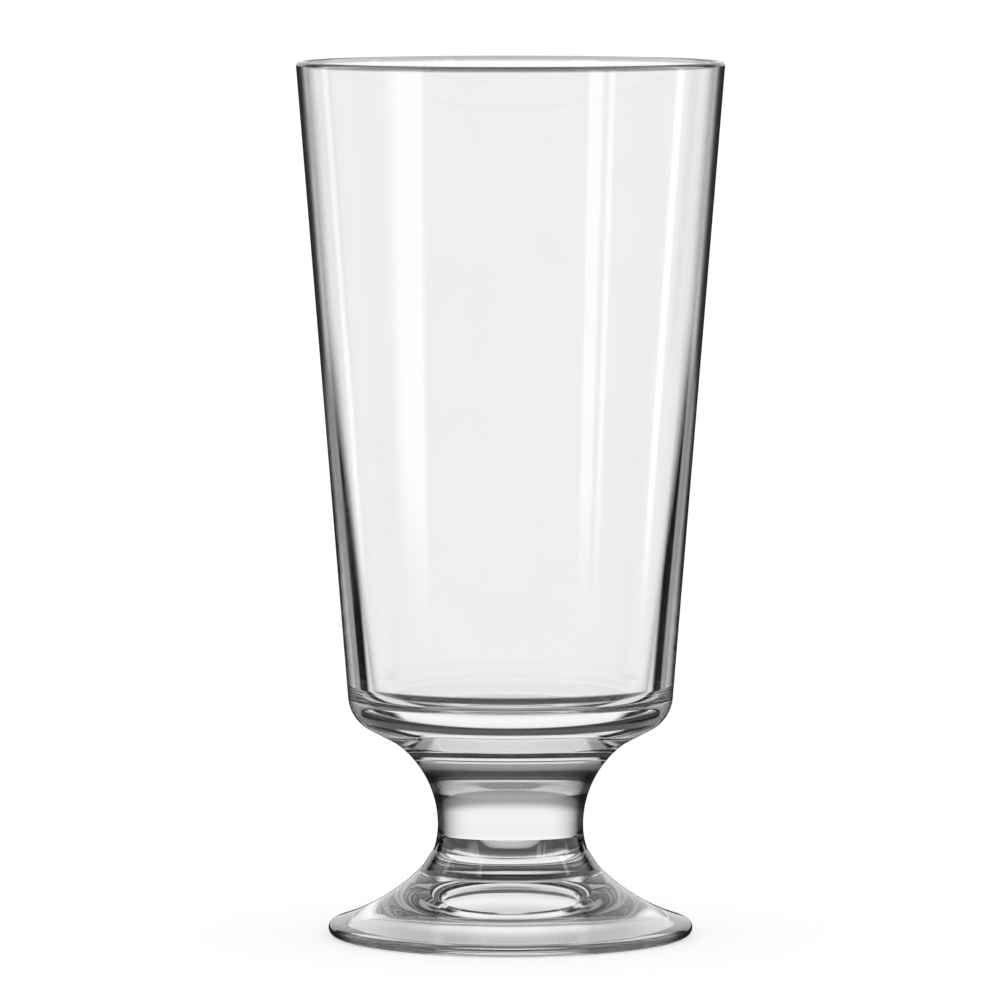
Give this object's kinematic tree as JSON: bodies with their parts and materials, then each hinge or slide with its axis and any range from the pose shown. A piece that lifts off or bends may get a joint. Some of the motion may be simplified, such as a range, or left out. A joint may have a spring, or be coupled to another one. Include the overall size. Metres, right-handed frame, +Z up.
{
  "type": "footed highball glass",
  "caption": "Tall tapered drinking glass of clear glass with a thick floor and rounded heel, on a short waisted stem and a round flared foot that is hollow underneath.",
  "frame": {"origin": "on the glass's axis, in the plane that the foot stands on", "axes": "+Z up along the axis, from the foot to the rim; the glass is round, so +X and +Y are free"},
  "size_m": [0.0732, 0.0732, 0.15],
  "materials": {
    "bowl_glass": "clear, fire polished",
    "stem_glass": "clear, pressed and fire polished",
    "foot_glass": "clear, pressed and fire polished"
  },
  "bodies": {
    "root": {"bowl": "bowl_glass", "stem": "stem_glass", "foot": "foot_glass"}
  },
  "joints": []
}
